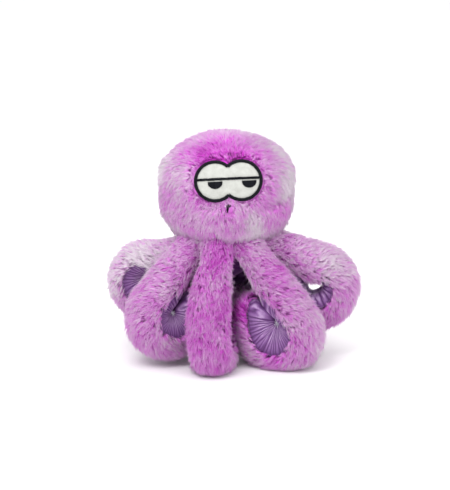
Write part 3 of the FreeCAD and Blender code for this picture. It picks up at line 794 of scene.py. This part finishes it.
def make_base_panel():
    """The smooth violet bowl between the arm roots, with its cross seam."""
    low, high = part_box("base_panel")
    bottom, rim, wide = low.z / MM, high.z / MM, (high.x - low.x) / 2 / MM
    bowl, curved = 28.0, 0.62
    seam_height, seam_depth, seam_width = bottom + 15.0, 0.9, 1.2
    rows, columns = 60, 96
    share = np.linspace(0.02, 1.0, rows)
    arc = np.minimum(share / curved, 1.0) * math.pi / 2
    flared = (share - curved) / (1 - curved)
    radius = np.where(share < curved, bowl * np.sin(arc), bowl + (wide - bowl) * flared)
    height = bottom + np.where(share < curved, bowl * (1 - np.cos(arc)),
                               bowl + (rim - bottom - bowl) * flared)
    angle = np.linspace(0, 2 * math.pi, columns, endpoint=False)
    radial = np.c_[circle(angle), 0 * angle]
    points = HEAD.axis + radius[:, None, None] * radial + height[:, None, None] * UP
    groove = seam_depth * np.exp(-((height - seam_height) / seam_width) ** 2)
    puff = 0.8 * noise(points, 16, 71)
    points += (puff - groove[:, None])[..., None] * radial
    shape = Shape()
    closed_grid(shape, points, WHOLE)
    piece = head_piece(shape, "base_panel_cloth", PANEL, "base_panel")


# ---- face

FELT_TOP = 0.0
FELT_THICKNESS = 3.4
MOUTH_LEVEL = -1.2
THREAD_RADIUS = 0.33
STITCH_SPACING = 0.42
STITCH_SHARES = np.array((0.0, 0.07, 0.30, 0.70, 0.93, 1.0))


def raised(drawing, height):
    """Places on the face's axes (..., 2) in space, a height over the felt."""
    flat = drawing.reshape(-1, 2) + HEAD.face_centre
    height = np.broadcast_to(height, drawing.shape[:-1]).reshape(-1, 1)
    found = HEAD.on_face(flat, FELT_TOP) + height * HEAD.forward
    return found.reshape(*drawing.shape[:-1], 3)


def stitches(shape, rng, start, end, lift, level=0.0):
    """Arched embroidery stitches between two rows of places on the face's axes."""
    jitter = 0.12
    start = start + rng.normal(0, jitter, start.shape)
    end = end + rng.normal(0, jitter, end.shape)
    share = STITCH_SHARES[None, :, None]
    drawing = start[:, None] * (1 - share) + end[:, None] * share
    arch = lift * np.sin(math.pi * STITCH_SHARES) ** 0.4
    lines = raised(drawing, level + 0.5 * THREAD_RADIUS + arch)
    radii = THREAD_RADIUS * rng.uniform(0.85, 1.15, (len(start), 1))
    tubes(shape, lines, radii, 6, WHOLE, tone=rng.random(len(start)))


def padding(shape, spines, radius, level=0.0):
    """Thick threads laid under the stitches; spines is (threads, points, 2)."""
    tubes(shape, raised(spines, level + 0.2), radius, 6, WHOLE, tone=0.0)


def make_eye_felt():
    """The white felt under both eyes: a figure of eight that reaches under the border."""
    edge = HEAD.eye_radius - 0.8
    half = HEAD.eye_half_spacing
    columns, rows = 120, 26
    angle = np.linspace(0, 2 * math.pi, columns, endpoint=False)
    direction = circle(angle)
    across = np.abs(direction[:, 0]) * half
    reach = across + np.sqrt(np.maximum(across ** 2 - half ** 2 + edge ** 2, 0))
    share = np.linspace(0.03, 1.0, rows) ** 0.8
    drawing = (share[:, None, None] * reach[:, None] * direction).reshape(-1, 2)
    flat = drawing + HEAD.face_centre
    relief = 0.14 * noise(np.c_[drawing, 0 * drawing[:, 0]], 1.3, 81)
    top = HEAD.on_face(flat, FELT_TOP) + relief[:, None] * HEAD.forward
    low = HEAD.on_face(flat, FELT_TOP - FELT_THICKNESS)
    grid = np.concatenate((top.reshape(rows, columns, 3), low.reshape(rows, columns, 3)[::-1]))
    shape = Shape()
    closed_grid(shape, grid, WHOLE)
    head_piece(shape, "eye_felt", FELT, "eye_patch")


def make_eye_border():
    """A satin-stitched rope round both eyes."""
    rng = np.random.default_rng(21)
    patch_low, patch_high = HEAD.drawn("eye_patch")
    width = HEAD.eye_radius - (patch_high[1] - patch_low[1]) / 2
    middle = HEAD.eye_radius - width / 2
    notch = math.acos(HEAD.eye_half_spacing / middle)
    sweep = 2 * (math.pi - notch)
    count = int(sweep * middle / STITCH_SPACING)
    slant = 0.035
    shape = Shape()
    for side in (-1, 1):
        centre = np.array((side * HEAD.eye_half_spacing, 0.0))
        first = notch if side < 0 else math.pi + notch
        angle = first + sweep * (np.arange(count) + 0.5) / count
        inner = centre + (middle - width / 2) * circle(angle - slant)
        outer = centre + (middle + width / 2) * circle(angle + slant)
        stitches(shape, rng, inner, outer, 1.0)
        ropes = middle + width * np.array((-0.25, 0.0, 0.25))
        padding(shape, centre + ropes[:, None, None] * circle(angle[::3]), 0.62)
    head_piece(shape, "eye_border_stitching", BLACK_THREAD, "eye_border")


def make_lid():
    """One line of slanted stitches across both eyes."""
    rng = np.random.default_rng(22)
    low, high = HEAD.drawn("eyelid_line")
    count = int((high[0] - low[0]) / STITCH_SPACING * 1.1)
    across = np.linspace(low[0], high[0], count)
    middle, half_width, slant = (low[1] + high[1]) / 2, 1.2, 0.5
    start, end = (np.stack((across + sign * slant, np.full(count, middle + sign * half_width)),
                           axis=1) for sign in (-1, 1))
    shape = Shape()
    stitches(shape, rng, start, end, 0.7)
    padding(shape, ((start + end) / 2)[None, ::3], 0.7)
    head_piece(shape, "eyelid_stitching", BLACK_THREAD, "eyelid_line")


def make_pupil(side):
    """A half-disc filled with upright stitches."""
    rng = np.random.default_rng(23 if side == "left" else 24)
    low, high = HEAD.drawn(f"pupil_{side}")
    radius = (high[0] - low[0]) / 2
    middle = (high[0] + low[0]) / 2
    shape = Shape()
    thread = 0.8
    for row in np.arange(0.5, radius - thread, thread):
        reach = math.sqrt(radius ** 2 - row ** 2) - 0.5
        across = np.linspace(middle - reach, middle + reach, 12)
        padding(shape, np.stack((across, high[1] - row + 0 * across), axis=1)[None], 0.5)
    for lift, shift in ((0.6, 0.0), (0.85, STITCH_SPACING / 2)):
        across = np.arange(-radius + 0.3 + shift, radius - 0.3, STITCH_SPACING)
        depth = np.sqrt(radius ** 2 - across ** 2)
        start = np.stack((middle + across, np.full(len(across), high[1])), axis=1)
        end = np.stack((middle + across, high[1] - depth), axis=1)
        stitches(shape, rng, start, end, lift)
    head_piece(shape, f"pupil_{side}_stitching", BLACK_THREAD, f"pupil_{side}")


def make_mouth():
    """A small hook of short stitches: down, with its top turned over to the right.

    As in the photo it lies a little to the left of the CAD's node and reaches below it.
    """
    rng = np.random.default_rng(25)
    low, high = HEAD.drawn("mouth_stitches")
    leg, tail, shift = 3.1, 1.8, 1.4
    radius = np.array(((high[0] - low[0] - leg) / 2, 1.7))
    centre = np.array((low[0] + leg / 2 + radius[0] - shift, high[1] - leg / 2 - radius[1]))
    over = np.linspace(0.5, math.pi, 16)
    arc = centre + radius * circle(over)
    fall = np.linspace(0, 1, 12)[1:, None]
    foot = np.array((arc[-1, 0] - 1.0, low[1] - shift))
    spine = np.concatenate((arc, arc[-1] * (1 - fall) + foot * fall))
    along = unit(np.gradient(spine, axis=0))
    width = np.interp(np.arange(len(spine)), (0, 9, len(spine) - 1), (tail, leg, leg))
    across = np.stack((-along[:, 1], along[:, 0]), axis=1) * width[:, None] / 2
    shape = Shape()
    start, end = spine - across + 0.2 * along, spine + across - 0.2 * along
    stitches(shape, rng, start, end, 1.2, MOUTH_LEVEL)
    padding(shape, spine[None], 0.9, MOUTH_LEVEL)
    head_piece(shape, "mouth_stitching", BLACK_THREAD, "mouth_stitches")


# ---- arms

class Arm:
    """One arm's centreline in its upright plane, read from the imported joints."""

    def __init__(self, name, looks):
        swing, uncurl = JOINTS[f"{name}_arm_swing"], JOINTS[f"{name}_arm_uncurl"]
        self.name = name
        self.looks = looks
        axis = np.array(swing["axis"])
        self.out = np.array((-axis[1], axis[0], 0.0))
        self.side = np.array((-self.out[1], self.out[0], 0.0))
        self.root = np.array(swing["pos_m"]) / MM
        pivot = np.array(uncurl["pos_m"]) / MM - self.root
        self.curl = looks["curl"]
        hinge = math.radians(JOINT_HEADING + 90)
        reach = self.curl + ARM_RADIUS
        self.centre = np.array((pivot @ self.out - reach * math.cos(hinge),
                                pivot[2] - reach * math.sin(hinge)))
        away = math.hypot(*self.centre)
        towards_centre = math.atan2(self.centre[1], self.centre[0])
        self.start_heading = towards_centre + math.asin(self.curl / away)
        self.straight = math.sqrt(away ** 2 - self.curl ** 2)
        self.arc = self.curl * (self.start_heading - math.radians(looks["end"]))
        self.length = self.straight + self.arc + looks["run"]
        joint = self.straight + self.curl * (self.start_heading - math.radians(JOINT_HEADING))
        self.split = joint - SPLIT_BEFORE_JOINT
        middle = self.straight + self.arc / 2
        self.knot = self.plane(self.centre + looks["gather"]) + self.swayed(middle)

    def plane(self, flat):
        """Points of the arm's plane, given as (outwards, up) from the root, in space."""
        return self.root + flat[..., :1] * self.out + flat[..., 1:2] * UP

    def centreline(self, along):
        """Points, directions of travel and normals out of the curl at distances along."""
        heading = self.start_heading - np.clip(along - self.straight, 0, self.arc) / self.curl
        before = np.minimum(along, self.straight)
        after = np.maximum(along - self.straight - self.arc, 0)
        start = self.start_heading
        out = (before * math.cos(start) + self.curl * (math.sin(start) - np.sin(heading))
               + after * np.cos(heading))
        high = (before * math.sin(start) + self.curl * (np.cos(heading) - math.cos(start))
                + after * np.sin(heading))
        travel = np.cos(heading)[..., None] * self.out + np.sin(heading)[..., None] * UP
        normal = np.cos(heading)[..., None] * UP - np.sin(heading)[..., None] * self.out
        return self.plane(np.stack((out, high), axis=-1)) + self.swayed(along), travel, normal

    def swayed(self, along):
        """How far the arm is bent to one side and, at its root, raised."""
        middle, tip = self.looks["sway"]
        share = np.clip(along / self.length, 0.0, 1.0)
        offset = middle * np.sin(math.pi * np.minimum(share / 0.8, 1.0)) + tip * smooth(share)
        raised = self.looks["lift"] * (1 - smooth((along + 5.0) / 45.0))
        return offset[..., None] * self.side + raised[..., None] * UP

    def girth(self, along):
        """The skin's radius: slimmer at the root and fuller round the curl."""
        return SKIN_RADIUS * (ROOT_GIRTH + (1 - ROOT_GIRTH) * smooth(along / self.straight))

    def over(self, along):
        """How far a place is past either end of the centreline, with its sign."""
        return np.maximum(along - self.length, 0) + np.minimum(along + ROOT_EXTENSION, 0)

    def seam(self, along):
        """Where the plush ends round the tube, in degrees: nearly closed on the upper run."""
        opened = smooth((along - self.straight + self.looks["early"] + 8) / 26)
        return RUN_SEAM_ANGLE + (SEAM_ANGLE - RUN_SEAM_ANGLE) * opened

    def twist(self, along):
        """How far the seams are turned about the tube."""
        angle, after, over = self.looks["twist"]
        return math.radians(angle) * smooth((along - self.straight - after) / over)

    def tube(self, along, angle, radius):
        """Points and normals of the stuffed tube; angle 0 is outside the curl."""
        centre, travel, normal = self.centreline(along)
        over = self.over(along)
        ring = radius * np.sqrt(np.maximum(1 - (over / SKIN_RADIUS) ** 2, 0.0001))
        turn = angle + self.twist(along)
        radial = np.cos(turn)[..., None] * normal + np.sin(turn)[..., None] * self.side
        out = unit(radial * ring[..., None] + travel * over[..., None])
        return centre + radial * ring[..., None], out, travel, radial

    def radius_at(self, along, angle):
        """The skin's radius with the lumps of the stuffing."""
        lumps = np.stack((along, angle * SKIN_RADIUS, 0 * along), axis=-1)
        return self.girth(along) + 0.8 * noise(lumps, 17, 90 + len(self.name))

    def surface(self, places, upper):
        """The skin at (distance along, degrees round the tube)."""
        along, angle = places[:, 0], np.radians(places[:, 1])
        along = np.clip(along, -ROOT_EXTENSION - SKIN_RADIUS * 0.9,
                        self.length + SKIN_RADIUS * 0.99)
        point, normal, travel, radial = self.tube(along, angle, self.radius_at(along, angle))
        sideways = np.cross(travel, radial)
        comb = along_surface(travel + 0.75 * np.sin(angle)[:, None] * sideways, normal)
        over = self.over(along)
        ring = np.sqrt(np.maximum(SKIN_RADIUS ** 2 - over ** 2, 4.0))
        stretch = np.stack((1 + 0 * along, ring * math.pi / 180), axis=1)
        root_pile = 0.60 + 0.40 * smooth((along + 5.0) / 35.0)
        return dict(point=point, normal=normal, comb=comb, stretch=stretch, pile=root_pile,
                    lie=np.ones(len(point)), tone=np.full(len(point), self.looks["tone"]),
                    bend=self.bend(along, upper))

    def bend(self, along, upper):
        """A weight from 0 to 1 for each place, rising past the root bend or past the split; it is
        stored as the bend value.
        """
        if upper:
            return smooth((along - ROOT_BEND_START) / ROOT_BEND_LENGTH)
        return smooth((along - self.split) / BEND_LENGTH)

    def clumps(self, rng, first, last):
        """Clump places on the furry side, as dense outside the curl as along the sides."""
        half = RUN_SEAM_ANGLE + 6
        length = last - first
        widest = 1 + SKIN_RADIUS / self.curl
        area = length * 2 * math.radians(half) * SKIN_RADIUS * widest
        tries = int(area / ARM_CLUMP_SPACING ** 2)
        along = rng.uniform(first, last, tries)
        angle = rng.uniform(-half, half, tries)
        bent = (along > self.straight) & (along < self.straight + self.arc)
        ring = np.sqrt(np.maximum(SKIN_RADIUS ** 2 - self.over(along) ** 2, 0)) / SKIN_RADIUS
        size = ring * (1 + bent * SKIN_RADIUS / self.curl * np.cos(np.radians(angle)))
        kept = (rng.random(tries) < size / widest) & (np.abs(angle) < self.seam(along) + 6)
        return np.stack((along, angle), axis=1)[kept]


def arm_skin(shape, arm, first, last, upper):
    """The stuffed tube under the fur and the lining."""
    rows, columns = int((last - first) / 2.0) + 2, 40
    along = np.linspace(first, last, rows)
    angle = np.linspace(-math.pi, math.pi, columns, endpoint=False)
    along, angle = np.meshgrid(along, angle, indexing="ij")
    inner = smooth((np.abs(angle) - np.radians(arm.seam(along) - 8)) / 0.2)
    radius = arm.radius_at(along, angle) - 3.5 * inner
    points = arm.tube(along, angle, radius)[0]
    # along=0.35 gives the skin part of the fur's painted root shade.
    closed_grid(shape, points, (0.0, 0.0, 1.0, 0.18), dye=dye_at(points, arm.looks["tone"]),
                along=0.35, tone=0.0, bend=arm.bend(along, upper))


def bend_across(piece, arm, first, last):
    """Bakes a piece's transform, reads its bend values and removes them; the piece itself is not
    bent.
    """
    start, end = arm.centreline(np.array((first, last)))[0] * MM
    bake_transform(piece)
    source = piece.data.attributes["bend"]
    values = np.zeros(len(piece.data.vertices), np.float32)
    source.data.foreach_get("value", values)
    piece.data.attributes.remove(piece.data.attributes["bend"])


def make_arm_fur(arm, part):
    """The plush cover of the upper arm or of the tip."""
    upper = part == "upper"
    first = -ROOT_EXTENSION - SKIN_RADIUS * 0.9 if upper else arm.split
    last = arm.split if upper else arm.length + SKIN_RADIUS * 0.99
    rng = np.random.default_rng([len(arm.name), int(arm.curl), ord(arm.name[-1]), upper])
    shape = Shape()
    arm_skin(shape, arm, first, last, upper)
    grow_fur(shape, rng, arm.clumps(rng, first, last),
             lambda places: arm.surface(places, upper), (0.0, 0.2, 1.0, 1.0))
    piece = shape.to_object(f"{arm.name}_{part}_plush", FUR)
    node = f"arm_{arm.name}" if upper else f"tip_{arm.name}"
    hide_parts(f"{node}_fur", f"{node}_stuffing")
    return piece


def make_lining(arm, part):
    """Gathered satin from seam to seam, pleated towards the point where the thread ties it."""
    upper = part == "upper"
    first = 0.0 if upper else arm.split
    last = arm.split if upper else arm.length + SKIN_RADIUS * 0.97
    rows, columns = int((last - first) / 0.6), 44
    along = np.linspace(first, last, rows)[:, None]
    share = np.linspace(-1, 1, columns)[None, :]
    along, share = np.broadcast_arrays(along, share)
    centre = arm.centreline(along)[0]
    seam = np.radians(arm.seam(along)) * np.sign(share + 1e-9)
    girth = arm.girth(along)
    edge = arm.tube(along, seam, girth + 0.2)[0]
    inner = arm.tube(along, np.full(along.shape, math.pi), girth)[3]
    to_gather = arm.knot - centre
    distance = np.linalg.norm(to_gather, axis=-1)
    gathered = smooth((along - arm.straight + arm.looks["early"]) / 18)
    ring = np.sqrt(np.maximum(1 - (arm.over(along) / SKIN_RADIUS) ** 2, 0.001))
    deep = np.minimum(distance - arm.looks["hole"], arm.curl + 8)
    at_end = smooth((along - arm.length) / 12)
    gathered = gathered * (1 - at_end)
    depth = ((girth - 1) * (1 - gathered) + deep * gathered) * ring ** 0.6
    inward = unit(unit(to_gather) * gathered[..., None] + inner * (1 - gathered)[..., None])
    reach = depth[..., None] * inward
    short = np.maximum((girth - 1) * ring - np.sum(reach * inner, axis=-1), 0)
    reach = reach + short[..., None] * inner
    turn = np.abs(share) * math.pi / 2
    middle = np.cos(turn)[..., None] ** 0.9 * reach
    points = centre + middle + (np.sin(turn) ** 1.15)[..., None] * (edge - centre)
    spacing = arm.looks["pleat"]
    places = np.stack((along / 5.0, share * 2.0, 0 * along), axis=-1)
    warp = 0.45 * noise(places, 1.0, 61) + 0.20 * noise(places, 0.45, 62)
    fine = np.abs(np.sin(math.pi * (along / spacing + warp))) ** 0.75
    coarse = np.abs(np.sin(math.pi * (along / spacing / 2 + 0.6 * warp))) ** 0.75
    towards = smooth((0.62 - np.abs(share)) / 0.35)
    pleat = fine * (1 - towards) + coarse * towards
    swell = np.sin(math.pi * np.clip(np.abs(share) * 1.02, 0, 1)) ** 0.7
    height = 1.5 * (pleat - 0.6) * swell * ring * min(spacing / 4.0, 1.6)
    points = points + (np.sign(share) * height)[..., None] * arm.side
    # Painted shade: darker in the pleats' valleys, along the lining's middle and at its seams,
    # paler on the ridges.
    fold = 0.15 + 0.75 * pleat * (0.35 + 0.65 * swell)
    under = points - 1.2 * np.sign(share)[..., None] * swell[..., None] * arm.side
    under = under + (centre - under) * 0.12
    ring_points = np.concatenate((points, under[:, ::-1]), axis=1)
    # The lining's underside gets the darkest painted shade.
    ring_fold_shading = np.concatenate((fold, 0 * fold), axis=1)
    ring_along = np.concatenate((along, along[:, ::-1]), axis=1)
    shape = Shape()
    closed_grid(shape, ring_points, (0.0, 0.0, 1.0, 0.9), fold=ring_fold_shading,
                bend=arm.bend(ring_along, upper))
    seam_stitches(shape, arm, max(first, arm.straight - 20), min(last, arm.length + 6), upper)
    piece = shape.to_object(f"{arm.name}_{part}_lining", LINING)
    node = f"arm_{arm.name}" if upper else f"tip_{arm.name}"
    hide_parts(f"{node}_lining")
    return piece


def seam_stitches(shape, arm, first, last, upper):
    """Short running stitches that hold the lining to the plush along both seams."""
    spacing, length = 2.6, 1.7
    places = np.arange(first + 1, last - 1, spacing)
    if len(places) == 0:
        return
    share = np.linspace(0, 1, 5)
    for sign in (-1, 1):
        along = places[:, None] + share[None, :] * length
        angle = sign * np.radians(arm.seam(along) + 4)
        lift = arm.girth(along) + 0.3 + 0.6 * np.sin(math.pi * share)[None, :]
        lines = arm.tube(along, angle, lift)[0]
        # The seam stitches take a pale value of the lining's painted shade.
        tubes(shape, lines, 0.32, 5, (0.0, 0.92, 1.0, 1.0), fold=0.95,
              bend=arm.bend(places, upper))


def make_tie(arm):
    """The white thread that gathers the pleats, knotted on both faces of the lining."""
    rng = np.random.default_rng([5, len(arm.name), ord(arm.name[-1])])
    shape = Shape()
    knot = arm.knot
    strands, loops = 9, 4
    share = np.linspace(0, 1, 6)
    for sign in (-1, 1):
        angle = 2 * math.pi * (np.arange(strands) + rng.uniform(-0.3, 0.3, strands)) / strands
        reach = rng.uniform(2.5, 6.0, strands)
        flat = circle(angle) * reach[:, None]
        level = 4.0 + arm.looks["hole"] * 0.4
        spoke = flat[:, None] * share[None, :, None]
        lines = knot + spoke[..., :1] * arm.out + spoke[..., 1:2] * UP
        rise = level + 1.2 * np.sin(math.pi * share)[None, :] + reach[:, None] * share * 0.35
        tubes(shape, lines + sign * rise[..., None] * arm.side, 0.26, 5, WHOLE,
              tone=rng.random(strands))
        turn = np.linspace(0, 1.6 * math.pi, 9)[None, :] + rng.uniform(0, 6, loops)[:, None]
        size = rng.uniform(0.7, 1.3, loops)[:, None]
        loop = (knot + (size * np.cos(turn))[..., None] * arm.out
                + (size * np.sin(turn))[..., None] * UP)
        tubes(shape, loop + sign * (level + 0.9) * arm.side, 0.34, 5, WHOLE,
              tone=rng.random(loops))
    piece = shape.to_object(f"{arm.name}_tie_thread", WHITE_THREAD)
    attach(piece, f"arm_{arm.name}")


def make_arm(name, looks):
    """One arm; the lining that leaves a wide open hole shows no tie thread."""
    arm = Arm(name, looks)
    for make in (make_arm_fur, make_lining):
        bend_across(make(arm, "upper"), arm, ROOT_BEND_START,
                    ROOT_BEND_START + ROOT_BEND_LENGTH)
        bend_across(make(arm, "tip"), arm, arm.split, arm.split + BEND_LENGTH)
    if looks["hole"] < OPEN_HOLE:
        make_tie(arm)


# ---- studio

LENS = 200.0
SENSOR = 36.0
FRAME_HEIGHT = 490.0
VIEW_ELEVATION = 15.0
AIM = Vector((-8.65, 0.0, 110.6)) * MM
LAMP_AIM = Vector((0.0, 0.0, 0.1))
WORLD_STRENGTH = 0.97
FLOOR_RADIUS = 30.0

# The lamps: name, place and size in metres, and power.
LAMPS = (
    ("key", (-0.45, -0.85, 1.30), 0.7, 9.0), ("fill", (0.9, -0.8, 0.60), 0.9, 2.4),
    ("top", (0.0, -0.20, 1.50), 1.0, 4.2), ("back", (0.2, 1.0, 0.9), 0.9, 2.2),
)


def looking(direction):
    """The rotation of a camera or a lamp that looks this way."""
    return direction.to_track_quat("-Z", "Y").to_euler()


def make_studio():
    scene = bpy.context.scene
    scene.view_settings.view_transform = "Standard"
    camera = bpy.data.objects.new("camera", bpy.data.cameras.new("camera"))
    scene.collection.objects.link(camera)
    camera.data.lens = LENS
    camera.data.sensor_width = SENSOR
    distance = LENS / SENSOR * FRAME_HEIGHT * MM
    camera.data.clip_end = 100.0
    rise = math.radians(VIEW_ELEVATION)
    back = Vector((0.0, -math.cos(rise), math.sin(rise)))
    camera.location = AIM + back * distance
    camera.rotation_euler = looking(-back)
    scene.camera = camera

    world = bpy.data.worlds.new("studio")
    world.use_nodes = True
    background = world.node_tree.nodes["Background"]
    background.inputs["Color"].default_value = (1.0, 1.0, 1.0, 1.0)
    background.inputs["Strength"].default_value = WORLD_STRENGTH
    scene.world = world
    for name, place, size, power in LAMPS:
        lamp = bpy.data.objects.new(name, bpy.data.lights.new(name, "AREA"))
        lamp.data.size = size
        lamp.data.energy = power
        lamp.location = place
        lamp.rotation_euler = looking(LAMP_AIM - lamp.location)
        scene.collection.objects.link(lamp)

    floor_mesh = bpy.data.meshes.new("floor")
    sides = 96
    around = FLOOR_RADIUS * circle(2 * math.pi * np.arange(sides) / sides)
    ring = [(x, y, 0.0) for x, y in around.tolist()]
    floor_mesh.from_pydata(ring, [], [tuple(range(sides))])
    floor = bpy.data.objects.new("floor", floor_mesh)
    scene.collection.objects.link(floor)
    paper = Material("pale_paper", Roughness=0.9)
    paper.shader.inputs["Base Color"].default_value = (0.99, 0.99, 0.99, 1.0)
    floor_mesh.materials.append(paper.material)


# ---- the toy

make_studio()
make_head()
make_base_panel()
make_eye_felt()
make_eye_border()
make_lid()
make_pupil("left")
make_pupil("right")
make_mouth()
for arm_name, arm_row in ARM_ROWS.items():
    make_arm(arm_name, dict(zip(ARM_COLUMNS, arm_row)))
